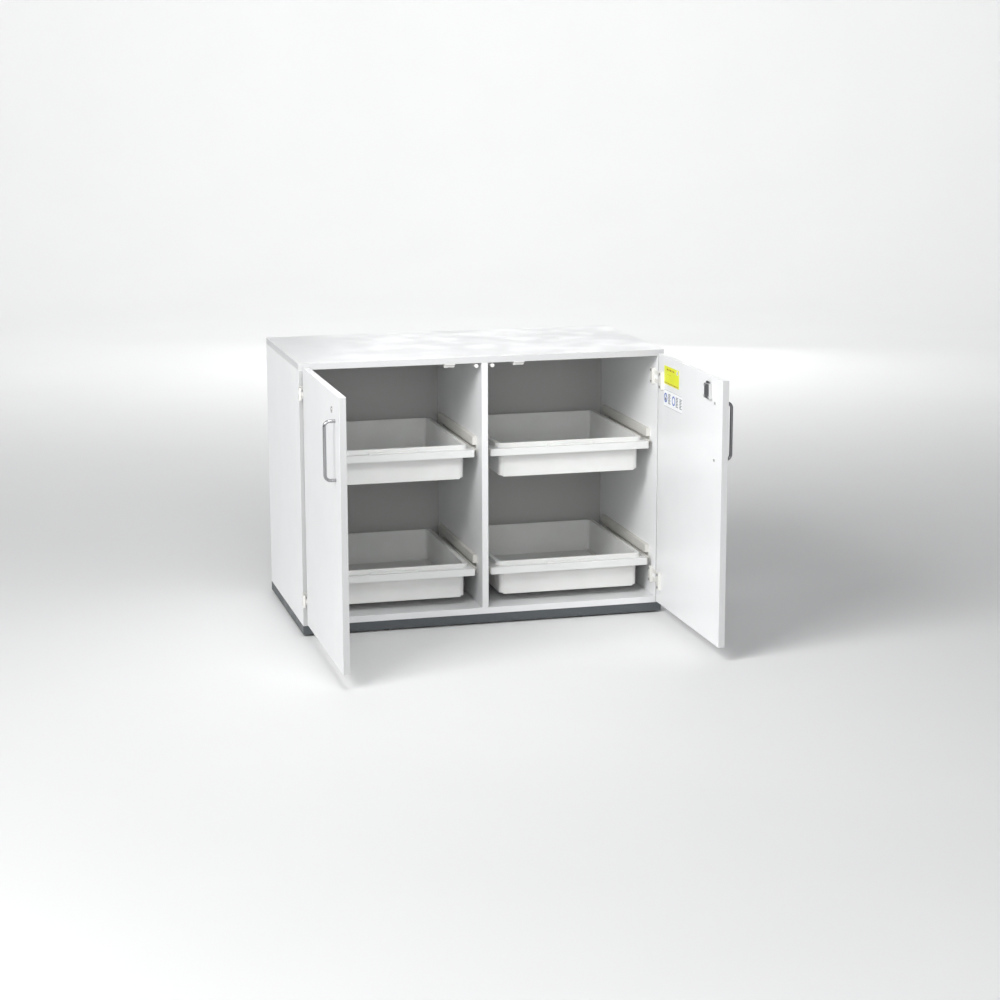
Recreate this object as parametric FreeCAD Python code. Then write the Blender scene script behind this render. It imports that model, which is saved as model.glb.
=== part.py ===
import FreeCAD, Part
import math
import os

# Flammable storage cabinet: a board carcass with two compartments, two wing doors on
# knuckle hinges, and four pull-out trays with plastic tubs, two in each compartment.
# Millimetres. +X is to the right, +Y to the back, +Z up. The origin is on the floor
# under the middle of the carcass's front. Both doors stand open at a right angle, so
# that the whole reaches as far in front of the origin as behind it.

V = FreeCAD.Vector

# Carcass
WIDTH = 1100.0
DEPTH = 574.0
FOOT_OUT = 6.0            # how far the levelling feet stand out under the plinth
PLINTH_H = 26.0
PLINTH_T = 10.0
BOARD = 19.0
BACK_T = 8.0
REBATE = 9.5              # how far the back panel reaches over the boards
CARCASS_H = 774.0         # from the plinth to the top of the top panel
EDGE_R = 1.0              # rounding of the edge banding

HALF_W = WIDTH / 2
FRONT = 0.0
REAR = DEPTH
BASE_Z = FOOT_OUT + PLINTH_H
FLOOR_Z = BASE_Z + BOARD              # upper face of the bottom panel
TOP_Z = BASE_Z + CARCASS_H
CEILING_Z = TOP_Z - BOARD             # underside of the top panel
BACK_Y = REAR - BACK_T                # inner face of the back panel
BAY_W = (WIDTH - 3 * BOARD) / 2
BAY_X = BOARD / 2 + BAY_W / 2         # middle of a compartment

# Levelling feet
FOOT_X = 298.0
FOOT_Y = (25.0, 537.0)
FOOT_PAD_R = 12.0
FOOT_PAD_H = 5.0
FOOT_STEM_R = 5.0
FOOT_PLATE_R = 14.0
FOOT_PLATE_H = 3.0

# Doors, at their open position
DOOR_W = 547.0
DOOR_H = 756.0
DOOR_Z = 43.0
DOOR_GAP = 2.3            # closed door to carcass front
DOOR_INSET = 1.0          # closed door's hinge edge to the carcass side
PIVOT_OUT = 0.55          # hinge axis beyond the carcass side
PIVOT_FRONT = 7.95        # hinge axis in front of the closed door's outer face
PIVOT_X = HALF_W + PIVOT_OUT
PIVOT_Y = FRONT - DOOR_GAP - BOARD - PIVOT_FRONT
DOOR_FACE_X = PIVOT_X - PIVOT_FRONT                   # outer face of the open door
DOOR_EDGE_Y = PIVOT_Y - PIVOT_OUT - DOOR_INSET        # hinge edge of the open door

# Knuckle hinges
HINGE_Z = (114.0, 723.0)
KNUCKLE_R = 4.0
PIN_R = 2.0
PIN_PLAY = 0.05
PIN_HEAD_R = 2.8
PIN_HEAD_H = 1.0
LEAF_T = 1.5
MID_KNUCKLE = 6.1         # half the height of the door leaf's knuckle
KNUCKLE_GAP = 0.4
BARREL = 18.5             # half the height of all three knuckles
WALL_BLOCK = (8.0, 21.0, 24.0)        # thickness, depth, half height
WALL_BLOCK_Y = 26.0       # from the carcass's front to the block
DOOR_BLOCK = (8.0, 20.0, 27.0)        # thickness, length, half height
DOOR_BLOCK_T = 24.5       # from the hinge edge to the block

# Handles
HANDLE_T = 488.6          # from the hinge edge
HANDLE_Z = 567.0          # lower leg
HANDLE_CC = 160.0
HANDLE_R = 4.5
HANDLE_OUT = 29.5         # bar axis to door face
HANDLE_BEND = 15.0

# Locks
LOCK_T = 445.0            # from the hinge edge
LOCK_Z = 751.0            # cylinder axis
CASE_HALF = 20.0
CASE_Z = (734.5, 777.5)
CASE_T = 10.5
CASE_WALL = 1.0
ROSE_R = 9.0
ROSE_H = 2.5
SLEEVE_R = 8.0
PLUG_R = 5.0
PLUG_PLAY = 0.05
CAM_R = 7.5
CAM_ARM = 6.0             # drive pin's distance from the cylinder axis
CAM_PIN_R = 1.2
BOLT_T = 4.0
BOLT_HEAD = 8.0           # half width of the bolt's head
BOLT_BODY = 11.0          # half width of the bolt's body
BOLT_TIP_Z = 783.5
BOLT_PLAY = 0.15
BOLT_TRAVEL = 8.5

# Strike plates under the top panel
STRIKE_X = HALF_W - DOOR_INSET - LOCK_T
STRIKE_HALF = 16.0
STRIKE_PLATE_H = 2.0
STRIKE_BLOCK_H = 11.0
STRIKE_POCKET = 10.0      # depth of the bolt's pocket in the top panel

# Door buffers
BUFFER_X = 24.0
BUFFER_Z = 778.0
BUFFER_GAP = 3.0          # to the closed door
BUFFER_R = 6.0

# Trays
TRAY_TOP = {"lower": 164.5, "upper": 524.0}           # top of the tray frame
FRAME_W = 490.5
FRAME_H = 21.0
FRAME_Y = (30.0, 559.0)
FRAME_T = 1.5
FRAME_HOLE = (221.0, 53.5, 549.0)    # half width, front, rear
TUB_RIM = (227.0, 51.0, 553.0)        # half width, front, rear
TUB_BODY = (216.5, 55.0, 546.0)
TUB_SHIFT = 3.5           # the tub sits off the frame's middle
TUB_PANEL = 0.8           # how far the front and rear panels stand out
TUB_WALL = 3.0
TUB_DRAFT = 1.0
TUB_RIM_H = 12.5
TUB_DEPTH = 89.5          # below the frame's top
TUB_STEP = (12.0, 3.5)    # inset and height of the foot of the tub
TUB_R = 14.0
GRIP = (143.0, 9.0, 4.0)  # finger grip on the front of the rim

# Roller slides
SLIDE_GAP = (BAY_W - FRAME_W) / 2
RAIL_Y = (65.0, 515.0)
RAIL_T = 1.2
RAIL_W = 12.5
RAIL_TOP = 33.5           # above the frame's top
COVER_H = 24.0
TRACK_W = 9.0
TRACK_Y = 110.0
TRACK_Z = -0.8            # upper face of the track, from the frame's top
FRONT_ROLLER_R = 10.0
FRONT_ROLLER_Y = 79.0
REAR_ROLLER_R = 16.0
REAR_ROLLER_Y = 477.0
FRONT_ROLLER_W = 6.5
REAR_ROLLER_W = 5.4        # its edge stays clear of the runner's flange
ROLL_GAP = 0.3            # roller to track
RUNNER_T = 1.3
RUNNER_FLANGE = 8.5       # from the wall to the edge of the runner's flange
AXLE_R = 2.0
AXLE_PLAY = 0.05

# Screws: shank radius, head radius, head height
PAN = (2.0, 4.0, 1.8)
FLAT = (1.75, 3.4, 0.9)
COUNTERSUNK = (1.75, 3.5, 2.0)

SIDES = {"left": -1, "right": 1}


# ---------------------------------------------------------------- small helpers

def box(x0, x1, y0, y1, z0, z1):
    low = V(min(x0, x1), min(y0, y1), min(z0, z1))
    return Part.makeBox(abs(x1 - x0), abs(y1 - y0), abs(z1 - z0), low)


def board(x0, x1, y0, y1, z0, z1):
    """A panel with its banded edges slightly rounded."""
    solid = box(x0, x1, y0, y1, z0, z1)
    return solid.makeFillet(EDGE_R, solid.Edges)


def rod(start, direction, radius, length):
    return Part.makeCylinder(radius, length, start, direction)


def mirrored(shape, side):
    """A shape made for the right-hand side, moved to the named side."""
    return shape if side > 0 else shape.mirror(V(0, 0, 0), V(1, 0, 0))


def fused(shapes):
    whole = shapes[0].multiFuse(shapes[1:]) if len(shapes) > 1 else shapes[0]
    return whole.removeSplitter()


def on_axis(shape, point, direction):
    """A copy of a shape made on +Z at the origin, put at a point along a direction."""
    copy = shape.copy()
    copy.Placement = FreeCAD.Placement(point, FreeCAD.Rotation(V(0, 0, 1), direction))
    return copy


def rounded_outline(half, y0, y1, z, radius, cx=0.0):
    """A closed wire: a rectangle with round corners, flat at one height."""
    x0 = cx - half
    x1 = cx + half
    edges = []
    corners = ((x1, y0, -90), (x1, y1, 0), (x0, y1, 90), (x0, y0, 180))
    ends = []
    for x, y, start in corners:
        mx = x + (radius if x == x0 else -radius)
        my = y + (radius if y == y0 else -radius)
        arc = Part.makeCircle(radius, V(mx, my, z), V(0, 0, 1), start, start + 90)
        ends.append((arc.valueAt(arc.FirstParameter), arc.valueAt(arc.LastParameter)))
        edges.append(arc)
    for i in range(4):
        edges.append(Part.makeLine(ends[i][1], ends[(i + 1) % 4][0]))
    return Part.Wire(Part.__sortEdges__(edges))


def rounded_prism(half, y0, y1, z0, z1, radius, cx=0.0, draft=0.0):
    """A block with round vertical corners, its lower end smaller by the draft."""
    low = rounded_outline(half - draft, y0 + draft, y1 - draft, z0, radius, cx)
    high = rounded_outline(half, y0, y1, z1, radius, cx)
    return Part.makeLoft([low, high], True, True)


def screw(kind, length, countersunk=False):
    """A cross-head screw on +Z with its bearing face at z = 0 and its shank below."""
    shank_r, head_r, head_h = kind
    shank = rod(V(0, 0, -length), V(0, 0, 1), shank_r, length)
    if countersunk:
        head = Part.makeCone(shank_r, head_r, head_h, V(0, 0, -head_h), V(0, 0, 1))
        top = 0.0
    else:
        head = rod(V(0, 0, 0), V(0, 0, 1), head_r, head_h)
        rim = [e for e in head.Edges if e.BoundBox.ZMin > head_h - 1e-6]
        head = head.makeFillet(head_h * 0.45, rim)
        top = head_h
    whole = fused([shank, head])
    slot = head_r * 0.55
    for a, b in ((slot, 0.35), (0.35, slot)):
        whole = whole.cut(box(-a, a, -b, b, top - 0.8, top + 1))
    return whole


def pilot(kind, length, countersunk=False):
    """The hole a screw of that kind leaves in the pieces that it holds."""
    hole = rod(V(0, 0, -length), V(0, 0, 1), kind[0], length)
    if countersunk:
        sink = Part.makeCone(kind[0], kind[1], kind[2], V(0, 0, -kind[2]), V(0, 0, 1))
        hole = hole.fuse(sink)
    return hole


def export(name, shapes):
    shapes = shapes if isinstance(shapes, list) else [shapes]
    solids = [s for shape in shapes for s in shape.Solids]
    whole = solids[0] if len(solids) == 1 else Part.makeCompound(solids)
    if not whole.isValid():
        print("not valid:", name)
    whole.exportStep("parts/%s.step" % name)
    print("%-32s %2d solids %10.1f cm3" % (name, len(solids), whole.Volume / 1000))


# ---------------------------------------------------------------- screws and their holes

BACK_SCREW_LEN = 26.0
RAIL_SCREW_LEN = 9.2
LEAF_SCREW_LEN = 20.0
STRIKE_SCREW_LEN = 12.0

RAIL_SCREW_Y = (120.0, 295.0, 445.0)
RAIL_SCREW_UP = 8.0       # above the frame's top


def back_screw_places():
    """Points on the rear face where the back panel is screwed to the boards."""
    side_x = HALF_W - BOARD + REBATE / 2
    rows = [150.0, 310.0, 470.0, 630.0]
    places = [V(x, REAR, z) for x in (-side_x, 0, side_x) for z in rows]
    low = BASE_Z + BOARD / 2
    high = CEILING_Z + REBATE / 2
    places += [V(x, REAR, z) for x in (-430, -180, 180, 430) for z in (low, high)]
    return places


def rail_screw_places():
    """Points and directions of the screws that hold the slide rails to the walls."""
    places = []
    for zt in TRAY_TOP.values():
        for wall_x, side in WALLS:
            for y in RAIL_SCREW_Y:
                x = wall_x - side * RAIL_T
                places.append((V(x, y, zt + RAIL_SCREW_UP), V(-side, 0, 0)))
    return places


def leaf_screw_places(side):
    """Screws that hold the hinges' wall leaves to one carcass side."""
    x = HALF_W - BOARD - WALL_BLOCK[0]
    y = FRONT + WALL_BLOCK_Y + WALL_BLOCK[1] / 2
    places = []
    for z in HINGE_Z:
        for up in (-17, 17):
            places.append((V(side * x, y, z + up), V(-side, 0, 0)))
    return places


def strike_screw_places(side):
    """Screws that hold a strike plate up under the top panel."""
    z = CEILING_Z - STRIKE_BLOCK_H
    y = FRONT + 17.0
    return [(V(side * (STRIKE_X + dx), y, z), V(0, 0, -1)) for dx in (-10, 10)]


# A compartment wall and the side of the compartment that it is on.
WALLS = [
    (-HALF_W + BOARD, -1),
    (-BOARD / 2, 1),
    (BOARD / 2, -1),
    (HALF_W - BOARD, 1),
]


# ---------------------------------------------------------------- carcass

def carcass():
    back_holes = [
        on_axis(pilot(COUNTERSUNK, BACK_SCREW_LEN, True), p, V(0, 1, 0))
        for p in back_screw_places()
    ]
    wall_holes = [
        on_axis(pilot(FLAT, RAIL_SCREW_LEN), p, d) for p, d in rail_screw_places()
    ]
    for side in SIDES.values():
        for p, d in leaf_screw_places(side):
            wall_holes.append(on_axis(pilot(PAN, LEAF_SCREW_LEN), p, d))
    holes = back_holes + wall_holes

    top = board(-HALF_W, HALF_W, FRONT, REAR, CEILING_Z, TOP_Z)
    rebate_x = HALF_W - BOARD + REBATE
    top = top.cut(box(-rebate_x, rebate_x, BACK_Y, REAR + 1, CEILING_Z - 1, CEILING_Z + REBATE))
    strike_holes = []
    for side in SIDES.values():
        top = top.cut(mirrored(bolt_pocket(), side))
        for p, d in strike_screw_places(side):
            strike_holes.append(on_axis(pilot(PAN, STRIKE_SCREW_LEN + STRIKE_BLOCK_H), p, d))
    export("top_panel", top.cut(back_holes + strike_holes))

    inner_x = HALF_W - BOARD
    bottom = board(-inner_x, inner_x, FRONT, BACK_Y, BASE_Z, FLOOR_Z)
    export("bottom_panel", bottom.cut(back_holes))

    for name, side in SIDES.items():
        panel = board(inner_x, HALF_W, FRONT, REAR, BASE_Z, CEILING_Z)
        panel = panel.cut(box(inner_x - 1, rebate_x, BACK_Y, REAR + 1, BASE_Z - 1, CEILING_Z + 1))
        export(name + "_side_panel", mirrored(panel, side).cut(holes))

    wall = board(-BOARD / 2, BOARD / 2, FRONT, BACK_Y, FLOOR_Z, CEILING_Z)
    export("centre_partition", wall.cut(holes))

    fit = 0.4
    back_x = rebate_x - fit
    back = box(-back_x, back_x, BACK_Y, REAR, BASE_Z + 1, CEILING_Z + REBATE - fit)
    export("back_panel", back.cut(back_holes))
    back_screw = screw(COUNTERSUNK, BACK_SCREW_LEN, True)
    export("back_panel_screws", [on_axis(back_screw, p, V(0, 1, 0)) for p in back_screw_places()])


def plinth():
    inner_x = HALF_W - PLINTH_T
    inner_y = REAR - PLINTH_T
    export("plinth_front_rail", box(-HALF_W, HALF_W, FRONT, FRONT + PLINTH_T, FOOT_OUT, BASE_Z))
    export("plinth_rear_rail", box(-HALF_W, HALF_W, inner_y, REAR, FOOT_OUT, BASE_Z))
    rail = box(inner_x, HALF_W, FRONT + PLINTH_T, inner_y, FOOT_OUT, BASE_Z)
    export("plinth_side_rails", [rail, mirrored(rail, -1)])

    up = V(0, 0, 1)
    pad = rod(V(0, 0, 0), up, FOOT_PAD_R, FOOT_PAD_H)
    pad = pad.makeFillet(1.2, [e for e in pad.Edges if e.Length > 60])
    stem = rod(V(0, 0, FOOT_PAD_H - 1), up, FOOT_STEM_R, BASE_Z - FOOT_PAD_H)
    plate = rod(V(0, 0, BASE_Z - FOOT_PLATE_H), up, FOOT_PLATE_R, FOOT_PLATE_H)
    foot = fused([pad, stem.common(box(-9, 9, -9, 9, 0, BASE_Z)), plate])
    feet = []
    for x in (-FOOT_X, FOOT_X):
        for y in FOOT_Y:
            feet.append(foot.translated(V(x, y, 0)))
    export("levelling_feet", feet)


def bolt_pocket():
    """The space in the right-hand strike plate and top panel for the thrown bolt."""
    half = BOLT_HEAD + 0.75
    y0 = FRONT + 2.1
    return box(STRIKE_X - half, STRIKE_X + half, y0, y0 + BOLT_T + 1.2,
               CEILING_Z - STRIKE_BLOCK_H - 1, CEILING_Z + STRIKE_POCKET)


def fittings():
    for name, side in SIDES.items():
        x0 = STRIKE_X - STRIKE_HALF
        x1 = STRIKE_X + STRIKE_HALF
        plate = box(x0, x1, FRONT + 0.5, FRONT + 25, CEILING_Z - STRIKE_PLATE_H, CEILING_Z)
        block = box(x0, x1, FRONT + 9, FRONT + 25, CEILING_Z - STRIKE_BLOCK_H, CEILING_Z)
        lower = [e for e in block.Edges if e.BoundBox.ZMax < CEILING_Z - STRIKE_PLATE_H]
        strike = fused([plate, block.makeFillet(1.5, lower)]).cut(bolt_pocket())
        strike = mirrored(strike, side)
        for p, d in strike_screw_places(side):
            strike = strike.cut(on_axis(pilot(PAN, STRIKE_SCREW_LEN + STRIKE_BLOCK_H), p, d))
        export(name + "_strike_plate", strike)

    tip_y = FRONT - DOOR_GAP + BUFFER_GAP
    stem = rod(V(BUFFER_X, tip_y, BUFFER_Z), V(0, 1, 0), BUFFER_R, 34)
    tip = [e for e in stem.Edges if e.BoundBox.YMax < tip_y + 1e-6]
    stem = stem.makeFillet(2.4, tip)
    foot = box(BUFFER_X - 5, BUFFER_X + 5, tip_y + 14, tip_y + 34, BUFFER_Z, CEILING_Z)
    buffer = fused([stem, foot])
    export("door_buffers", [buffer, mirrored(buffer, -1)])

    screws = [on_axis(screw(FLAT, RAIL_SCREW_LEN), p, d) for p, d in rail_screw_places()]
    for side in SIDES.values():
        screws += [on_axis(screw(PAN, LEAF_SCREW_LEN), p, d) for p, d in leaf_screw_places(side)]
        strike_screw = screw(PAN, STRIKE_SCREW_LEN + STRIKE_BLOCK_H)
        screws += [on_axis(strike_screw, p, d) for p, d in strike_screw_places(side)]
    export("carcass_fitting_screws", screws)


# ---------------------------------------------------------------- hinges

def wall_leaf(z):
    """The fixed leaf of the right-hand hinge at one height, with two of its knuckles."""
    thick, deep, half = WALL_BLOCK
    inner_x = HALF_W - BOARD
    arm_x = HALF_W + LEAF_T
    y0 = FRONT + WALL_BLOCK_Y
    block = box(inner_x - thick, inner_x, y0, y0 + deep, z - half, z + half)
    inner = [e for e in block.Edges if e.BoundBox.XMax < inner_x - thick + 1e-6]
    shapes = [block.makeFillet(2.0, inner)]
    for z0, z1 in ((-BARREL, -MID_KNUCKLE - KNUCKLE_GAP), (MID_KNUCKLE + KNUCKLE_GAP, BARREL)):
        strap = box(inner_x - LEAF_T, inner_x, FRONT - LEAF_T, y0 + 2, z + z0, z + z1)
        wrap = box(inner_x - LEAF_T, arm_x, FRONT - LEAF_T, FRONT, z + z0, z + z1)
        arm = box(HALF_W, arm_x, PIVOT_Y + 2.5, FRONT, z + z0, z + z1)
        ring = rod(V(PIVOT_X, PIVOT_Y, z + z0), V(0, 0, 1), KNUCKLE_R, z1 - z0)
        shapes += [strap, wrap, arm, ring]
    leaf = fused(shapes)
    leaf = leaf.cut(rod(V(PIVOT_X, PIVOT_Y, z - BARREL - 1), V(0, 0, 1), PIN_R, 2 * BARREL + 2))
    return leaf


def hinge_pin(z):
    pin = rod(V(PIVOT_X, PIVOT_Y, z - BARREL), V(0, 0, 1), PIN_R, 2 * BARREL)
    heads = []
    for z0 in (z - BARREL - PIN_HEAD_H, z + BARREL):
        heads.append(rod(V(PIVOT_X, PIVOT_Y, z0), V(0, 0, 1), PIN_HEAD_R, PIN_HEAD_H))
    return fused([pin] + heads)


def door_leaf(z):
    """The moving leaf of the right-hand hinge at one height, on the open door."""
    thick, length, half = DOOR_BLOCK
    face = DOOR_FACE_X - BOARD
    y0 = DOOR_EDGE_Y - DOOR_BLOCK_T
    z0 = z - MID_KNUCKLE
    z1 = z + MID_KNUCKLE
    block = box(face - thick, face, y0 - length, y0, z - half, z + half)
    outer = [e for e in block.Edges if e.BoundBox.XMax < face - thick + 1e-6]
    block = block.makeFillet(2.0, outer)
    strap = box(face - LEAF_T, face, y0 - 2, DOOR_EDGE_Y + LEAF_T, z0, z1)
    wrap = box(face - LEAF_T, PIVOT_X - 2.5, DOOR_EDGE_Y, DOOR_EDGE_Y + LEAF_T, z0, z1)
    ring = rod(V(PIVOT_X, PIVOT_Y, z0), V(0, 0, 1), KNUCKLE_R, z1 - z0)
    leaf = fused([block, strap, wrap, ring])
    bore = rod(V(PIVOT_X, PIVOT_Y, z0 - 1), V(0, 0, 1), PIN_R + PIN_PLAY, z1 - z0 + 2)
    return leaf.cut(bore)


def hinges():
    wall_leaves = []
    pins = []
    for side in SIDES.values():
        for z in HINGE_Z:
            leaf = mirrored(wall_leaf(z), side)
            for p, d in leaf_screw_places(side):
                leaf = leaf.cut(on_axis(pilot(PAN, LEAF_SCREW_LEN), p, d))
            wall_leaves.append(leaf)
            pins.append(mirrored(hinge_pin(z), side))
    export("hinge_wall_leaves", wall_leaves)
    export("hinge_pins", pins)


# ---------------------------------------------------------------- doors

def door_point(t, n, z):
    """A point on the open right-hand door: along it, inward from its outer face, up."""
    return V(DOOR_FACE_X - n, DOOR_EDGE_Y - t, z)


def door_box(t0, t1, n0, n1, z0, z1):
    a = door_point(t0, n0, z0)
    b = door_point(t1, n1, z1)
    return box(a.x, b.x, a.y, b.y, a.z, b.z)


def door_rod(t, z, n0, n1, radius):
    return rod(door_point(t, n0, z), V(-1, 0, 0), radius, n1 - n0)


OUTWARD = V(1, 0, 0)
INWARD = V(-1, 0, 0)
HANDLE_SCREW_LEN = BOARD + 9.0
CASE_SCREW_LEN = CASE_T + 9.0
BLOCK_SCREW_LEN = DOOR_BLOCK[0] + 10.0


def door_screw_places():
    """Point and length of every screw on the inner face of the right-hand door."""
    places = []
    for z in (HANDLE_Z, HANDLE_Z + HANDLE_CC):
        places.append((door_point(HANDLE_T, BOARD, z), HANDLE_SCREW_LEN))
    for dt, z in ((-15, CASE_Z[0] + 6), (15, CASE_Z[0] + 6), (-15, CASE_Z[1] - 6)):
        places.append((door_point(LOCK_T + dt, BOARD + CASE_T, z), CASE_SCREW_LEN))
    t = DOOR_BLOCK_T + DOOR_BLOCK[1] / 2
    for hinge_z in HINGE_Z:
        for up in (-19, 19):
            places.append((door_point(t, BOARD + DOOR_BLOCK[0], hinge_z + up), BLOCK_SCREW_LEN))
    return places


def door_holes():
    return [on_axis(pilot(PAN, length), p, INWARD) for p, length in door_screw_places()]


def door_panel():
    panel = door_box(0, DOOR_W, 0, BOARD, DOOR_Z, DOOR_Z + DOOR_H)
    panel = panel.makeFillet(EDGE_R, panel.Edges)
    panel = panel.cut(door_rod(LOCK_T, LOCK_Z, -1, BOARD + 1, SLEEVE_R))
    return panel.cut(door_holes())


def handle():
    """A round bar bent to a D, standing on two legs."""
    z0 = HANDLE_Z
    z1 = HANDLE_Z + HANDLE_CC
    bend = HANDLE_BEND
    short = bend * (1 - math.cos(math.pi / 4))
    out = -HANDLE_OUT
    p = [
        door_point(HANDLE_T, 0, z0),
        door_point(HANDLE_T, out + bend, z0),
        door_point(HANDLE_T, out + short, z0 + short),
        door_point(HANDLE_T, out, z0 + bend),
        door_point(HANDLE_T, out, z1 - bend),
        door_point(HANDLE_T, out + short, z1 - short),
        door_point(HANDLE_T, out + bend, z1),
        door_point(HANDLE_T, 0, z1),
    ]
    path = Part.Wire([
        Part.LineSegment(p[0], p[1]).toShape(),
        Part.Arc(p[1], p[2], p[3]).toShape(),
        Part.LineSegment(p[3], p[4]).toShape(),
        Part.Arc(p[4], p[5], p[6]).toShape(),
        Part.LineSegment(p[6], p[7]).toShape(),
    ])
    section = Part.Wire([Part.makeCircle(HANDLE_R, p[0], OUTWARD)])
    bar = path.makePipeShell([section], True, False)
    return bar.cut(door_holes())


def lock_case():
    t0 = LOCK_T - CASE_HALF
    t1 = LOCK_T + CASE_HALF
    z0, z1 = CASE_Z
    case = door_box(t0, t1, BOARD, BOARD + CASE_T, z0, z1)
    face_x = DOOR_FACE_X - BOARD - CASE_T
    outer = [e for e in case.Edges if e.BoundBox.XMax < face_x + 1e-6]
    case = case.makeFillet(1.8, outer)
    wall = CASE_WALL
    case = case.cut(door_box(t0 + wall, t1 - wall, BOARD - 1, BOARD + CASE_T - wall,
                             z0 + wall, z1 - wall))
    play = BOLT_PLAY
    n0, n1 = bolt_depth()
    slot = door_box(LOCK_T - BOLT_HEAD - play, LOCK_T + BOLT_HEAD + play, n0 - play, n1 + play,
                    z1 - 3, z1 + 1)
    return case.cut(slot).cut(door_holes())


def bolt_depth():
    """Where the bolt lies between the door's faces, inward from the outer face."""
    n1 = BOARD + CASE_T - CASE_WALL - 0.5
    return n1 - BOLT_T, n1


def lock_sleeve():
    rose = door_rod(LOCK_T, LOCK_Z, -ROSE_H, 0, ROSE_R)
    front = [e for e in rose.Edges if e.BoundBox.XMin > DOOR_FACE_X + ROSE_H - 1e-6]
    rose = rose.makeFillet(0.8, front)
    sleeve = fused([rose, door_rod(LOCK_T, LOCK_Z, 0, BOARD, SLEEVE_R)])
    return sleeve.cut(door_rod(LOCK_T, LOCK_Z, -ROSE_H - 1, BOARD + 1, PLUG_R + PLUG_PLAY))


def lock_plug():
    """The turning key plug with its cam disc and drive pin."""
    cam_n = BOARD + 1.2
    body = door_rod(LOCK_T, LOCK_Z, -ROSE_H - 0.3, cam_n, PLUG_R)
    disc = door_rod(LOCK_T, LOCK_Z, cam_n, cam_n + 1.6, CAM_R)
    arm = CAM_ARM * math.cos(math.pi / 4)
    pin = door_rod(LOCK_T - arm, LOCK_Z - arm, cam_n, bolt_depth()[1], CAM_PIN_R)
    plug = fused([body, disc, pin])
    keyway = door_box(LOCK_T - 0.7, LOCK_T + 0.7, -ROSE_H - 1, 6, LOCK_Z - 3.6, LOCK_Z + 3.2)
    return plug.cut(keyway)


def lock_bolt():
    """The sliding bolt, drawn back, with the slot that the drive pin works in."""
    n0, n1 = bolt_depth()
    body_z0 = CASE_Z[0] + 3.5
    body_z1 = CASE_Z[1] - CASE_WALL - BOLT_TRAVEL - 2
    body = door_box(LOCK_T - BOLT_BODY, LOCK_T + BOLT_BODY, n0, n1, body_z0, body_z1)
    head = door_box(LOCK_T - BOLT_HEAD, LOCK_T + BOLT_HEAD, n0, n1, body_z1 - 1, BOLT_TIP_Z)
    arm = CAM_ARM * math.cos(math.pi / 4)
    reach = CAM_PIN_R + 0.35
    slot = door_box(LOCK_T - CAM_ARM - reach, LOCK_T - arm + reach, n0 - 1, n1 + 1,
                    LOCK_Z - arm - reach, LOCK_Z - arm + reach)
    return fused([body, head]).cut(slot)


LABEL_T = 0.3
LABELS = {
    "yellow_label": (52.5, 184.0, 717.8, 772.0),      # along the door, then up
    "white_label": (52.5, 213.5, 650.5, 702.5),
}


def doors():
    leaves = [door_leaf(z).cut(door_holes()) for z in HINGE_Z]
    screws = [on_axis(screw(PAN, length), p, INWARD) for p, length in door_screw_places()]
    pieces = {
        "door_panel": [door_panel()],
        "door_hinge_leaves": leaves,
        "door_handle": [handle()],
        "door_screws": screws,
        "lock_case": [lock_case()],
        "lock_sleeve": [lock_sleeve()],
        "lock_plug": [lock_plug()],
        "lock_bolt": [lock_bolt()],
    }
    for name, side in SIDES.items():
        for piece, shapes in pieces.items():
            export("%s_%s" % (name, piece), [mirrored(s, side) for s in shapes])
    for name, (t0, t1, z0, z1) in LABELS.items():
        export(name, door_box(t0, t1, BOARD, BOARD + LABEL_T, z0, z1))


# ---------------------------------------------------------------- trays

def tray_frame(cx, zt):
    """A frame of folded sheet, open below, that the tub hangs in."""
    half = FRAME_W / 2
    y0, y1 = FRAME_Y
    z0 = zt - FRAME_H
    whole = box(cx - half, cx + half, y0, y1, z0, zt)
    whole = whole.makeFillet(1.5, [e for e in whole.Edges if e.BoundBox.ZMax > zt - 1e-6])
    hole_half, hole_y0, hole_y1 = FRAME_HOLE
    skin = FRAME_T
    outer = box(cx - half + skin, cx + half - skin, y0 + skin, y1 - skin, z0 - 1, zt - skin)
    inner = box(cx - hole_half - skin, cx + hole_half + skin, hole_y0 - skin, hole_y1 + skin,
                z0 - 2, zt)
    opening = box(cx - hole_half, cx + hole_half, hole_y0, hole_y1, z0 - 1, zt + 1)
    return whole.cut(outer.cut(inner)).cut(opening)


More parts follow.
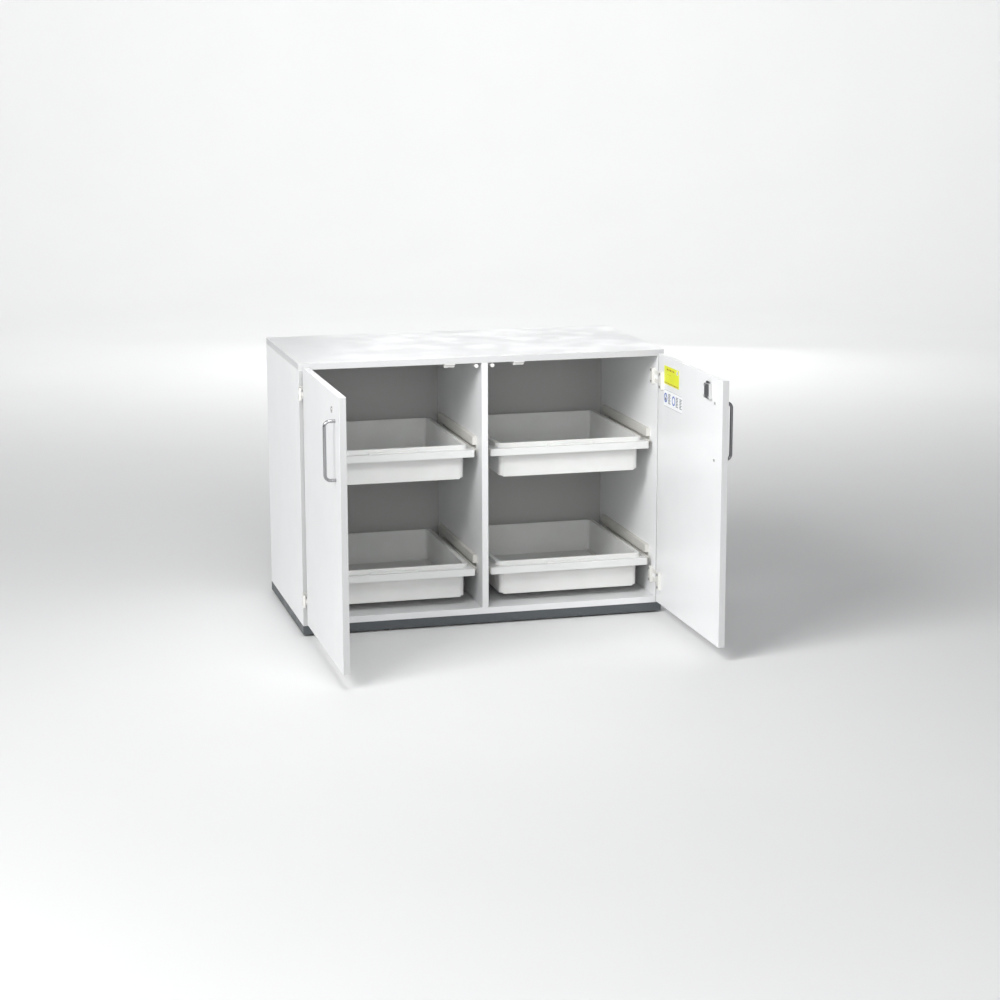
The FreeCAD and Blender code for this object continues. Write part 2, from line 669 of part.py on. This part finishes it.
def tray_tub(frame_x, zt):
    """A plastic tub with a thick rim, a stepped foot and a finger grip."""
    cx = frame_x + TUB_SHIFT
    rim_top = zt + TUB_RIM_H
    step_in, step_h = TUB_STEP
    bottom = zt - TUB_DEPTH
    step_z = bottom + step_h
    half, y0, y1 = TUB_RIM
    rim = rounded_prism(half, y0, y1, zt, rim_top, TUB_R + 2, cx)
    rim = rim.makeFillet(2.0, [e for e in rim.Edges if e.BoundBox.ZMin > rim_top - 1e-6])
    half, y0, y1 = TUB_BODY
    body = rounded_prism(half, y0, y1, step_z, zt + 1, TUB_R, cx, TUB_DRAFT)
    out = TUB_PANEL
    panel = rounded_prism(half - step_in, y0 - out, y1 + out, bottom, zt + 1, 1.5, cx, TUB_DRAFT)
    wall = TUB_WALL
    hollow = rounded_prism(half - wall, y0 + wall, y1 - wall, step_z + wall, rim_top + 1,
                           TUB_R - 3, cx, TUB_DRAFT)
    well_in = step_in + TUB_DRAFT + wall
    well_y = TUB_DRAFT + wall + 1
    well = rounded_prism(half - well_in, y0 + well_y, y1 - well_y, bottom + wall,
                         step_z + wall + 1, TUB_R - 3, cx)
    length, deep, high = GRIP
    rim_y = TUB_RIM[1]
    grip = box(cx - length / 2, cx + length / 2, rim_y - deep, rim_y + 3, zt, zt + high)
    front = [e for e in grip.Edges if e.BoundBox.YMax < rim_y - deep + 1e-6]
    grip = grip.makeFillet(1.8, [e for e in front if e.BoundBox.ZMax > zt + 1])
    return fused([rim, body, panel, grip]).cut(hollow).cut(well)


def wall_box(wall_x, side, w0, w1, y0, y1, z0, z1):
    """A box given by its distances from a compartment wall."""
    return box(wall_x - side * w0, wall_x - side * w1, y0, y1, z0, z1)


def wall_rod(wall_x, side, y, z, radius, w0, w1):
    return rod(V(wall_x - side * w0, y, z), V(-side, 0, 0), radius, w1 - w0)


def slide_rail(wall_x, side, zt):
    """The fixed channel of one roller slide, with the axle of its front roller."""
    y0, y1 = RAIL_Y
    top = zt + RAIL_TOP
    track = zt + TRACK_Z
    t = RAIL_T
    shapes = [
        wall_box(wall_x, side, 0, t, y0, y1, track - t, top),
        wall_box(wall_x, side, 0, RAIL_W, y0, y1, top - t, top),
        wall_box(wall_x, side, RAIL_W - t, RAIL_W, y0, y1, top - COVER_H, top),
        wall_box(wall_x, side, 0, RAIL_W, y0, y0 + t, top - COVER_H, top),
        wall_box(wall_x, side, 0, TRACK_W, TRACK_Y, y1, track - t, track),
        wall_box(wall_x, side, 0, t, y0, y0 + 28, zt - 22, track),
    ]
    rail = fused(shapes)
    bead = wall_box(wall_x, side, RAIL_W - 2.4, RAIL_W - t, y0 + 4, y1 + 1, top - 0.7, top + 1)
    rail = rail.cut(bead)
    axle_z = zt + front_roller_up()
    axle = wall_rod(wall_x, side, FRONT_ROLLER_Y, axle_z, AXLE_R, t, 4.2 + FRONT_ROLLER_W)
    cap = wall_rod(wall_x, side, FRONT_ROLLER_Y, axle_z, AXLE_R + 1.4, 3.6 + FRONT_ROLLER_W,
                   4.4 + FRONT_ROLLER_W)
    rail = fused([rail, axle, cap])
    holes = [on_axis(pilot(FLAT, RAIL_SCREW_LEN), p, d) for p, d in rail_screw_places()
             if abs(p.x - (wall_x - side * t)) < 0.01 and abs(p.z - zt - RAIL_SCREW_UP) < 0.01]
    return rail.cut(holes)


def front_roller_up():
    """The front roller's axle above the frame's top: its rim just clears the runner."""
    return 0.5 - ROLL_GAP - FRONT_ROLLER_R


def rear_roller_up():
    return TRACK_Z + ROLL_GAP + REAR_ROLLER_R


def roller(wall_x, side, y, z, radius, width):
    """A nylon wheel with a shallow recess on its open side."""
    wheel = wall_rod(wall_x, side, y, z, radius, 2.8, 2.8 + width)
    rims = [e for e in wheel.Edges if e.Length > 2 * radius]
    wheel = wheel.makeFillet(0.7, [e for e in rims if len(e.Vertexes) == 1])
    dish = wall_rod(wall_x, side, y, z, radius - 3.0, 1.8 + width, 3.8 + width)
    hub = wall_rod(wall_x, side, y, z, AXLE_R + 2.0, 2.8, 2.8 + width)
    bore = wall_rod(wall_x, side, y, z, AXLE_R + AXLE_PLAY, 1.8, 3.8 + width)
    return fused([wheel.cut(dish), hub]).cut(bore)


def runner(wall_x, side, zt):
    """The moving member of one slide: an angle on the tray frame, with a roller axle."""
    y0 = FRAME_Y[0] + 3
    y1 = REAR_ROLLER_Y + 15
    inner = SLIDE_GAP - RUNNER_T
    z_flange = zt + 0.5
    t = 1.2
    plate_w = RUNNER_FLANGE + 1.1
    axle_z = zt + rear_roller_up()
    shapes = [
        wall_box(wall_x, side, inner, SLIDE_GAP, y0, y1, zt - FRAME_H + 2, z_flange + t),
        wall_box(wall_x, side, RUNNER_FLANGE, SLIDE_GAP, y0, y1, z_flange, z_flange + t),
        wall_box(wall_x, side, plate_w, plate_w + t, y1 - 34, y1, z_flange, axle_z + 7),
        wall_rod(wall_x, side, REAR_ROLLER_Y, axle_z, AXLE_R, 2.4, plate_w + 0.5),
    ]
    return fused(shapes)


def trays():
    for column, cx in (("left", -BAY_X), ("right", BAY_X)):
        for level, zt in TRAY_TOP.items():
            tag = "%s_%s" % (level, column)
            walls = [w for w in WALLS if abs(w[0] - cx) < BAY_W / 2 + 1]
            front_z = zt + front_roller_up()
            rear_z = zt + rear_roller_up()
            export(tag + "_tray_frame", tray_frame(cx, zt))
            export(tag + "_tray_tub", tray_tub(cx, zt))
            export(tag + "_slide_rails", [slide_rail(x, s, zt) for x, s in walls])
            export(tag + "_slide_runners", [runner(x, s, zt) for x, s in walls])
            export(tag + "_front_rollers",
                   [roller(x, s, FRONT_ROLLER_Y, front_z, FRONT_ROLLER_R, FRONT_ROLLER_W)
                    for x, s in walls])
            export(tag + "_rear_rollers",
                   [roller(x, s, REAR_ROLLER_Y, rear_z, REAR_ROLLER_R, REAR_ROLLER_W)
                    for x, s in walls])


os.makedirs("parts", exist_ok=True)
carcass()
plinth()
fittings()
hinges()
doors()
trays()
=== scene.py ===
import math

import bmesh
import bpy
from mathutils import Matrix, Quaternion, Vector


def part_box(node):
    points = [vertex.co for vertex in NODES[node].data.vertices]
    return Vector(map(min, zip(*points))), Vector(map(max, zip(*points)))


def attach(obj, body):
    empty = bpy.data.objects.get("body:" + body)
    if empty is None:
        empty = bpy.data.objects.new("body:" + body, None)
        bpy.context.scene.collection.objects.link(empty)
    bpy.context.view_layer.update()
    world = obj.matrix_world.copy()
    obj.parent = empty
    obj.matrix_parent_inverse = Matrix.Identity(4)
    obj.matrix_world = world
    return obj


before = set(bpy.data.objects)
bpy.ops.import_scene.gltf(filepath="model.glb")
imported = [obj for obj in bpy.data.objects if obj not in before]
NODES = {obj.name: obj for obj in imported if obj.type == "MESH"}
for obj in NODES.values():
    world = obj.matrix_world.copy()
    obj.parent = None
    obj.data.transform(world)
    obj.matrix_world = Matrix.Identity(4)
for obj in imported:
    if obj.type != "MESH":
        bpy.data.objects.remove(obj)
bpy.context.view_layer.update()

SIDES = ("left", "right")
TRAYS = ("upper_left", "upper_right", "lower_left", "lower_right")


# ---------------------------------------------------------------- camera

CAMERA_PLACE = (-1.651, -6.451, 1.772)
CAMERA_YAW = -14.73          # degrees, turned right from +Y
CAMERA_PITCH = 11.82         # degrees below level
CAMERA_ROLL = 0.12
LENS_MM = 83.0
SENSOR_MM = 36.0


def make_camera():
    yaw = math.radians(CAMERA_YAW)
    pitch = math.radians(CAMERA_PITCH)
    forward = Vector((
        -math.sin(yaw) * math.cos(pitch),
        math.cos(yaw) * math.cos(pitch),
        -math.sin(pitch),
    ))
    data = bpy.data.cameras.new("camera")
    data.lens = LENS_MM
    data.sensor_width = SENSOR_MM
    data.clip_start = 0.1
    data.clip_end = 100.0
    camera = bpy.data.objects.new("camera", data)
    camera.location = CAMERA_PLACE
    camera.rotation_mode = "QUATERNION"
    roll = Quaternion(forward, math.radians(CAMERA_ROLL))
    camera.rotation_quaternion = roll @ forward.to_track_quat("-Z", "Y")
    bpy.context.scene.collection.objects.link(camera)
    bpy.context.scene.camera = camera


# ---------------------------------------------------------------- shader helpers

class Shader:
    """A node material under construction."""

    def __init__(self, name):
        self.material = bpy.data.materials.new(name)
        self.material.use_nodes = True
        self.nodes = self.material.node_tree.nodes
        self.links = self.material.node_tree.links
        self.bsdf = self.nodes["Principled BSDF"]
        coords = self.nodes.new("ShaderNodeTexCoord")
        self.place = coords.outputs["Object"]
        self.facing = coords.outputs["Normal"]

    def link(self, source, target):
        self.links.new(source, target)

    def set(self, **values):
        for key, value in values.items():
            self.bsdf.inputs[key.replace("_", " ")].default_value = value
        return self

    def math(self, operation, a, b=None):
        node = self.nodes.new("ShaderNodeMath")
        node.operation = operation
        for socket, value in zip(node.inputs, (a, b)):
            if value is None:
                continue
            if hasattr(value, "is_output"):
                self.link(value, socket)
            else:
                socket.default_value = value
        return node.outputs[0]

    def noise(self, scale, detail=3.0, rough=0.5, stretch=(1, 1, 1)):
        """Noise over the piece's own place, its scale in features to the metre."""
        mapping = self.nodes.new("ShaderNodeMapping")
        mapping.inputs["Scale"].default_value = stretch
        self.link(self.place, mapping.inputs["Vector"])
        node = self.nodes.new("ShaderNodeTexNoise")
        node.inputs["Scale"].default_value = scale
        node.inputs["Detail"].default_value = detail
        node.inputs["Roughness"].default_value = rough
        self.link(mapping.outputs["Vector"], node.inputs["Vector"])
        return node.outputs["Fac"]

    def between(self, value, low, high, to_low=0.0, to_high=1.0):
        """A smooth step from to_low to to_high as the value goes from low to high."""
        node = self.nodes.new("ShaderNodeMapRange")
        node.interpolation_type = "SMOOTHSTEP"
        for key, number in zip(("From Min", "From Max", "To Min", "To Max"),
                               (low, high, to_low, to_high)):
            node.inputs[key].default_value = number
        self.link(value, node.inputs["Value"])
        return node.outputs["Result"]

    def blend(self, mask, a, b):
        """A colour between a and b, where each is a colour or a socket."""
        node = self.nodes.new("ShaderNodeMix")
        node.data_type = "RGBA"
        self.link(mask, node.inputs["Factor"])
        for socket, value in ((node.inputs[6], a), (node.inputs[7], b)):
            if hasattr(value, "is_output"):
                self.link(value, socket)
            else:
                socket.default_value = (*value, 1.0)
        return node.outputs[2]

    def colour(self, socket):
        self.link(socket, self.bsdf.inputs["Base Color"])
        return self

    def rough(self, socket, low, high):
        """Roughness that wanders between two values."""
        self.link(self.between(socket, 0.3, 0.7, low, high), self.bsdf.inputs["Roughness"])
        return self

    def bump(self, *layers):
        """Layers of (height socket, strength, distance in metres)."""
        normal = None
        for height, strength, distance in layers:
            node = self.nodes.new("ShaderNodeBump")
            node.inputs["Strength"].default_value = strength
            node.inputs["Distance"].default_value = distance
            self.link(height, node.inputs["Height"])
            if normal is not None:
                self.link(normal, node.inputs["Normal"])
            normal = node.outputs["Normal"]
        self.link(normal, self.bsdf.inputs["Normal"])
        return self

    def part(self, vector, letter):
        """One component of a vector socket."""
        node = self.nodes.new("ShaderNodeSeparateXYZ")
        self.link(vector, node.inputs["Vector"])
        return node.outputs[letter]

    def turned_from(self, letter):
        """Zero where the surface faces along an axis, and one where it doesn't."""
        along = self.math("ABSOLUTE", self.part(self.facing, letter))
        return self.between(along, 0.3, 0.7, 1.0, 0.0)


def tinted(rgb, factor):
    return tuple(min(1.0, c * factor) for c in rgb)


def paint(material, *names):
    """Gives CAD nodes or Blender pieces one material."""
    for name in names:
        piece = NODES.get(name) or bpy.data.objects[name]
        piece.data.materials.clear()
        piece.data.materials.append(material)


# ---------------------------------------------------------------- materials

WHITE = (0.80, 0.805, 0.81)
# The back panel is a darker grey than the boards, partly its own tone and partly painted shade for
# the dim inside of the cabinet.
BACK_GREY = (0.42, 0.425, 0.415)
BAND_T = 0.0012              # thickness of the edge banding, in metres
SEAM_SHADE = 0.86            # the hairline where the banding meets the facing

# Painted light and shade: how light each board's edge banding is beside its facing, and each facing
# beside WHITE, set board by board for how the light falls on it, so boards that are alike get
# different tones.
BAND_PAINTED_SHADES = {
    "top_panel": 0.79,
    "bottom_panel": 1.0,
    "centre_partition": 0.96,
    "left_side_panel": 0.66,
    "right_side_panel": 0.66,
    "left_door_panel": 0.66,
    "right_door_panel": 0.80,
}
# Painted light: facings made lighter or darker than WHITE for how the light falls on each board.
FACING_PAINTED_LIGHT = {"top_panel": 0.95, "left_side_panel": 1.06, "right_side_panel": 1.10}
# Painted light: the left handle's steel is lighter for the highlight it catches, and the right
# one's darker for the shade it stands in, though both are one steel.
HANDLE_LIT_AND_SHADED_STEEL = {"left": (0.38, 0.38, 0.39), "right": (0.28, 0.28, 0.29)}


def board_material(node, rgb=WHITE, band_painted_shade=1.0):
    """Melamine facing with a pearl grain, an edge banding on the upright edges in a tone set per
    board as painted shade for how the light falls on that board, and the hairline where the two
    meet."""
    low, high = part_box(node)
    size = high - low
    thin = min(range(3), key=lambda i: size[i])
    s = Shader(node)
    inset = None
    for i in range(3):
        if i == thin:
            continue
        middle = (low[i] + high[i]) / 2
        away = s.math("ABSOLUTE", s.math("SUBTRACT", s.part(s.place, "XYZ"[i]), middle))
        distance = s.math("SUBTRACT", size[i] / 2, away)
        inset = distance if inset is None else s.math("MINIMUM", inset, distance)
    offset = s.math("ABSOLUTE", s.math("SUBTRACT", inset, BAND_T))
    seam = s.between(offset, 0.00015, 0.0005, 1.0, 0.0)
    cloud = s.noise(2.3, 4.0)
    face = s.blend(s.between(cloud, 0.35, 0.65), tinted(rgb, 0.985), tinted(rgb, 1.01))
    edge = s.between(inset, BAND_T * 0.6, BAND_T, 1.0, 0.0)
    for letter in sorted({"Z", "XYZ"[thin]}):
        edge = s.math("MULTIPLY", edge, s.turned_from(letter))
    # The banding's tone, set per board, is painted shade.
    face = s.blend(edge, face, tinted(rgb, band_painted_shade))
    s.colour(s.blend(seam, face, tinted(rgb, SEAM_SHADE)))
    s.rough(s.noise(14.0, 5.0), 0.30, 0.40)
    pearl = s.noise(1500.0, 2.0)
    s.bump((pearl, 0.10, 0.0002), (s.math("SUBTRACT", 1.0, seam), 0.25, 0.0002))
    return s.material


def plinth_material():
    s = Shader("plinth_facing")
    grain = s.noise(60.0, 6.0, 0.65, (1, 1, 6))
    s.colour(s.blend(grain, (0.064, 0.073, 0.078), (0.102, 0.113, 0.120)))
    s.rough(s.noise(30.0, 4.0), 0.38, 0.55)
    return s.bump((s.noise(900.0, 3.0), 0.25, 0.0003)).material


def plastic_material(name, rgb, rough=(0.34, 0.46), grain=1100.0, strength=0.15, glow=0.0):
    """Moulded plastic with a fine spark-eroded grain."""
    s = Shader(name)
    cloud = s.noise(9.0, 3.0)
    s.colour(s.blend(s.between(cloud, 0.3, 0.7), tinted(rgb, 0.97), tinted(rgb, 1.02)))
    s.rough(s.noise(22.0, 4.0), *rough)
    if glow:
        s.set(Subsurface_Weight=glow, Subsurface_Scale=0.004)
    return s.bump((s.noise(grain, 2.0), strength, 0.0003)).material


def enamel_material(name, rgb, rough=(0.36, 0.46)):
    """Powder coat with a fine orange peel."""
    s = Shader(name)
    cloud = s.noise(5.0, 2.0)
    s.colour(s.blend(s.between(cloud, 0.2, 0.8), tinted(rgb, 0.98), tinted(rgb, 1.015)))
    s.rough(s.noise(14.0, 5.0), *rough)
    return s.bump((s.noise(1500.0, 2.0), 0.10, 0.0002)).material


def metal_material(name, rgb, rough, stretch, strength=0.2, scale=500.0):
    """Ground or plated metal, its scratches drawn out along one axis."""
    s = Shader(name)
    lines = s.noise(scale, 4.0, 0.6, stretch)
    s.colour(s.blend(s.between(lines, 0.3, 0.7), tinted(rgb, 0.88), tinted(rgb, 1.06)))
    s.rough(s.noise(scale * 0.6, 3.0, 0.5, stretch), *rough)
    s.set(Metallic=1.0)
    return s.bump((lines, strength, 0.0002)).material


def case_material():
    """Lock case: dark lacquer on its face and bare light metal round its sides."""
    s = Shader("lock_case")
    geometry = s.nodes.new("ShaderNodeNewGeometry")
    split = s.nodes.new("ShaderNodeSeparateXYZ")
    s.link(geometry.outputs["Normal"], split.inputs["Vector"])
    facing = s.between(s.math("ABSOLUTE", split.outputs["X"]), 0.80, 0.93)
    grain = s.noise(90.0, 4.0)
    dark = s.blend(grain, (0.090, 0.096, 0.102), (0.150, 0.156, 0.162))
    s.colour(s.blend(facing, (0.62, 0.62, 0.62), dark))
    s.rough(grain, 0.28, 0.40)
    s.set(Metallic=0.35)
    return s.bump((s.noise(700.0, 2.0), 0.15, 0.0002)).material


def film_material(name, rgb):
    """A printed film label, slightly uneven where it was pressed on."""
    s = Shader(name)
    cloud = s.noise(18.0, 3.0)
    s.colour(s.blend(s.between(cloud, 0.3, 0.7), tinted(rgb, 0.96), tinted(rgb, 1.02)))
    s.rough(s.noise(35.0, 3.0), 0.30, 0.42)
    return s.bump((s.noise(70.0, 2.0), 0.12, 0.0005)).material


def paint_nodes():
    # Each board gets painted light and shade from the banding and facing tables above.
    for node, band_painted_shade in BAND_PAINTED_SHADES.items():
        paint(board_material(node, tinted(WHITE, FACING_PAINTED_LIGHT.get(node, 1.0)), band_painted_shade), node)
    # The back panel's grey is partly painted shade.
    paint(board_material("back_panel", BACK_GREY), "back_panel")
    paint(plinth_material(), "plinth_front_rail", "plinth_rear_rail", "plinth_side_rails")
    paint(plastic_material("foot_plastic", (0.018, 0.018, 0.019)), "levelling_feet")
    fitting = plastic_material("white_fitting", (0.76, 0.76, 0.74), (0.24, 0.34))
    paint(fitting, "left_strike_plate", "right_strike_plate", "door_buffers")

    ivory = enamel_material("hinge_enamel", (0.74, 0.735, 0.70))
    paint(ivory, "hinge_wall_leaves", "left_door_hinge_leaves", "right_door_hinge_leaves")
    zinc = metal_material("zinc_steel", (0.44, 0.44, 0.45), (0.28, 0.42), (1, 1, 1), 0.12, 260.0)
    paint(zinc, "hinge_pins", "carcass_fitting_screws", "back_panel_screws")
    nickel = metal_material("lock_nickel", (0.66, 0.65, 0.63), (0.14, 0.24), (1, 1, 1), 0.08, 300.0)
    case = case_material()
    dark = metal_material("bolt_steel", (0.17, 0.17, 0.175), (0.30, 0.42), (1, 1, 0.1), 0.1)
    drawn = (1, 1, 0.06)
    for side in SIDES:
        # Painted light: the left handle's steel is drawn lighter and the right one's darker.
        handle_steel_with_painted_light = metal_material(side + "_handle", HANDLE_LIT_AND_SHADED_STEEL[side], (0.12, 0.20), drawn, 0.1)
        paint(handle_steel_with_painted_light, side + "_door_handle")
        paint(zinc, side + "_door_screws")
        paint(dark, side + "_lock_bolt")
        paint(case, side + "_lock_case")
        paint(nickel, side + "_lock_sleeve", side + "_lock_plug")

    frame_coat = enamel_material("tray_enamel", (0.735, 0.742, 0.735))
    slide_coat = enamel_material("slide_enamel", (0.66, 0.65, 0.61), (0.34, 0.44))
    tub = plastic_material("tub_plastic", (0.755, 0.76, 0.745), (0.36, 0.48), 800.0, 0.2, 0.05)
    nylon = plastic_material("roller_nylon", (0.78, 0.78, 0.76), (0.30, 0.40), 900.0, 0.08, 0.1)
    for tray in TRAYS:
        paint(frame_coat, tray + "_tray_frame")
        paint(slide_coat, tray + "_slide_rails", tray + "_slide_runners")
        paint(tub, tray + "_tray_tub")
        paint(nylon, tray + "_front_rollers", tray + "_rear_rollers")
    paint(film_material("yellow_film", (0.76, 0.80, 0.045)), "yellow_label")
    paint(film_material("white_film", (0.91, 0.92, 0.93)), "white_label")


# ---------------------------------------------------------------- printed marks

INK_T = 0.00012              # thickness of the print, in metres
RING_STEPS = 48
STRIPE_LENGTHS = (1.0, 0.86, 0.94, 0.78, 0.98, 0.70)

BROWN_INK = (0.36, 0.17, 0.025)
OLIVE_INK = (0.42, 0.36, 0.04)
PALE_INK = (0.84, 0.85, 0.90)
NAVY_INK = (0.10, 0.14, 0.42)
BLUE_INK = (0.055, 0.13, 0.50)
LINE_GREY = (0.42, 0.43, 0.45)
TEXT_GREY = (0.20, 0.21, 0.23)
BLACK_INK = (0.045, 0.05, 0.07)


def bar(y, z, half_y, half_z):
    """A rectangle of ink about a point in the door's plane."""
    return ("bar", y, z, half_y, half_z)


def ring(y, z, radius, hole=0.0):
    """A ring of ink, or a disc where it has no hole."""
    return ("ring", y, z, radius, hole)


def add_ring(mesh, x, y, z, radius, hole):
    """A thin flat ring with its axis across the cabinet."""
    steps = RING_STEPS
    rows = []
    for r in (radius, hole):
        for front in (x - INK_T, x):
            rows.append([
                mesh.verts.new((front, y + r * math.cos(a), z + r * math.sin(a)))
                for a in (2 * math.pi * i / steps for i in range(steps))
            ])
    outer_in, outer_out, inner_in, inner_out = rows
    for a, b in ((outer_in, inner_in), (inner_out, outer_out), (outer_out, outer_in),
                 (inner_in, inner_out)):
        for i in range(steps):
            k = (i + 1) % steps
            mesh.faces.new((a[i], a[k], b[k], b[i]))


def ink_piece(name, shapes, rgb, lift=0.0):
    """Flat printed shapes on a label of the open right door, in the door's plane."""
    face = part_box("yellow_label")[0].x - lift
    mesh = bmesh.new()
    for kind, y, z, a, b in shapes:
        if kind == "ring":
            add_ring(mesh, face, y, z, a, max(b, a * 0.02))
        else:
            size = Matrix.Diagonal((INK_T, 2 * a, 2 * b, 1))
            place = Matrix.Translation((face - INK_T / 2, y, z)) @ size
            bmesh.ops.create_cube(mesh, size=1.0, matrix=place)
    bmesh.ops.recalc_face_normals(mesh, faces=mesh.faces)
    data = bpy.data.meshes.new(name)
    mesh.to_mesh(data)
    mesh.free()
    piece = bpy.data.objects.new(name, data)
    bpy.context.scene.collection.objects.link(piece)
    piece.data.materials.append(film_material(name, rgb))
    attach(piece, "right_door")


def stripes(y, z, half_y, half_z, count):
    """A block of short bars, one above another, of uneven length."""
    pitch = 2 * half_z / count
    block = []
    for i in range(count):
        reach = half_y * STRIPE_LENGTHS[i % len(STRIPE_LENGTHS)]
        block.append(bar(y + half_y - reach, z + half_z - pitch * (i + 0.5), reach, pitch * 0.30))
    return block


def yellow_label_marks():
    """A heading, a line of fine print along the foot, and a round mark in one corner."""
    low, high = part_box("yellow_label")
    wide = high.y - low.y
    tall = high.z - low.z
    heading = []
    for i, half in enumerate((0.0085, 0.0060, 0.0095, 0.0050, 0.0080)):
        heading.append(bar(high.y - wide * (0.22 + 0.105 * i), high.z - tall * 0.175, half * 0.62,
                           tall * 0.042))
    foot = []
    for i in range(9):
        foot.append(bar(high.y - wide * (0.08 + 0.105 * i), low.z + tall * 0.085,
                        wide * (0.043 - 0.006 * (i % 3)), tall * 0.026))
    specks = [bar(high.y - wide * k, high.z - tall * 0.44, 0.0022, 0.0011) for k in (0.27, 0.40)]
    ink_piece("yellow_label_print", heading + foot, BROWN_INK)
    ink_piece("yellow_label_specks", specks, OLIVE_INK)
    mark = (low.y + wide * 0.115, high.z - tall * 0.16)
    ink_piece("yellow_label_disc", [ring(*mark, 0.0068)], PALE_INK)
    ink_piece("yellow_label_dot", [ring(*mark, 0.0038, 0.0017)], NAVY_INK, INK_T)


def white_label_marks():
    """Two hairlines, with two blue rings and three blocks of grey bars between them."""
    low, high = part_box("white_label")
    wide = high.y - low.y
    tall = high.z - low.z
    middle = (low.y + high.y) / 2
    z = low.z + tall * 0.52
    hair = [bar(middle, low.z + 0.0016, wide * 0.49, 0.0007),
            bar(middle, high.z - 0.0016, wide * 0.49, 0.0007)]
    ink_piece("white_label_lines", hair, LINE_GREY)
    rings = [ring(high.y - wide * 0.10, z, 0.0140, 0.0097),
             ring(high.y - wide * 0.535, z, 0.0140, 0.0097)]
    ink_piece("white_label_rings", rings, BLUE_INK)
    dots = [ring(high.y - wide * 0.10, z - 0.004, 0.0048),
            bar(high.y - wide * 0.12, z + 0.005, 0.003, 0.0018)]
    ink_piece("white_label_dots", dots, BLACK_INK)
    blocks = []
    for k in (0.305, 0.725, 0.925):
        blocks += stripes(high.y - wide * k, z, wide * 0.062, tall * 0.30, 7)
    ink_piece("white_label_blocks", blocks, TEXT_GREY)


# ---------------------------------------------------------------- studio

WORLD_STRENGTH = 0.27

# name, place, what it points at, size in metres, watts
LIGHTS = (
    ("key", (-3.8, -2.8, 3.4), (0, 0, 0.4), (2.8, 2.8), 205.0),
    ("fill", (2.6, -4.6, 3.6), (0, 0, 0.4), (2.4, 2.0), 5.0),
    ("top", (0.2, 0.8, 5.2), (0, 0.2, 0), (3.0, 2.4), 14.0),
    ("front", (-0.9, -5.4, 1.7), (0, 0, 0.4), (2.6, 1.6), 56.0),
    ("inner", (-0.50, -0.9, 1.5), (0.5, -0.2, 0.5), (0.5, 0.4), 8.5),
    ("backdrop", (1.0, 4.5, 5.5), (2.0, 10.0, 1.5), (6.0, 2.0), 320.0),
    ("rear", (1.8, 5.6, 1.2), (0, 0.5, 0.4), (2.4, 1.6), 22.0),
)


def area_light(name, place, target, size, power):
    data = bpy.data.lights.new(name, "AREA")
    data.shape = "RECTANGLE"
    data.size = size[0]
    data.size_y = size[1]
    data.energy = power
    light = bpy.data.objects.new(name, data)
    light.location = place
    aim = Vector(target) - Vector(place)
    light.rotation_mode = "QUATERNION"
    light.rotation_quaternion = aim.to_track_quat("-Z", "Y")
    light.visible_camera = False
    bpy.context.scene.collection.objects.link(light)


# The studio floor: where it starts to curve, its radius there, and the wall's height.
FLOOR_FLAT = 7.5
FLOOR_BEND = 3.0
BEND_STEPS = 12
WALL_TOP = 7.0


def sweep_floor():
    """A pale studio floor that curves up into a round wall far behind the object."""
    flat = FLOOR_FLAT
    bend = FLOOR_BEND
    profile = [(0.0, 0.0), (flat, 0.0)]
    for i in range(1, BEND_STEPS + 1):
        turn = math.radians(90 * i / BEND_STEPS)
        profile.append((flat + bend * math.sin(turn), bend * (1 - math.cos(turn))))
    profile.append((flat + bend, WALL_TOP))
    mesh = bmesh.new()
    line = [mesh.verts.new((r, 0, z)) for r, z in profile]
    edges = [mesh.edges.new(pair) for pair in zip(line, line[1:])]
    bmesh.ops.spin(mesh, geom=line + edges, cent=(0, 0, 0), axis=(0, 0, 1),
                   angle=2 * math.pi, steps=96, use_merge=True)
    bmesh.ops.remove_doubles(mesh, verts=mesh.verts, dist=0.0001)
    bmesh.ops.recalc_face_normals(mesh, faces=mesh.faces)
    for face in mesh.faces:
        face.smooth = True
    data = bpy.data.meshes.new("studio_floor")
    mesh.to_mesh(data)
    mesh.free()
    floor = bpy.data.objects.new("studio_floor", data)
    bpy.context.scene.collection.objects.link(floor)
    s = Shader("studio_floor")
    cloud = s.noise(1.5, 3.0)
    s.colour(s.blend(cloud, (0.80, 0.80, 0.80), (0.83, 0.83, 0.83)))
    s.set(Roughness=0.8)
    floor.data.materials.append(s.material)


def studio():
    bpy.context.scene.view_settings.view_transform = "Standard"
    world = bpy.data.worlds.new("studio")
    world.use_nodes = True
    background = world.node_tree.nodes["Background"]
    background.inputs["Color"].default_value = (0.96, 0.98, 1.0, 1.0)
    background.inputs["Strength"].default_value = WORLD_STRENGTH
    bpy.context.scene.world = world
    sweep_floor()
    for light in LIGHTS:
        area_light(*light)


# ---------------------------------------------------------------- scene

make_camera()
paint_nodes()
yellow_label_marks()
white_label_marks()
studio()
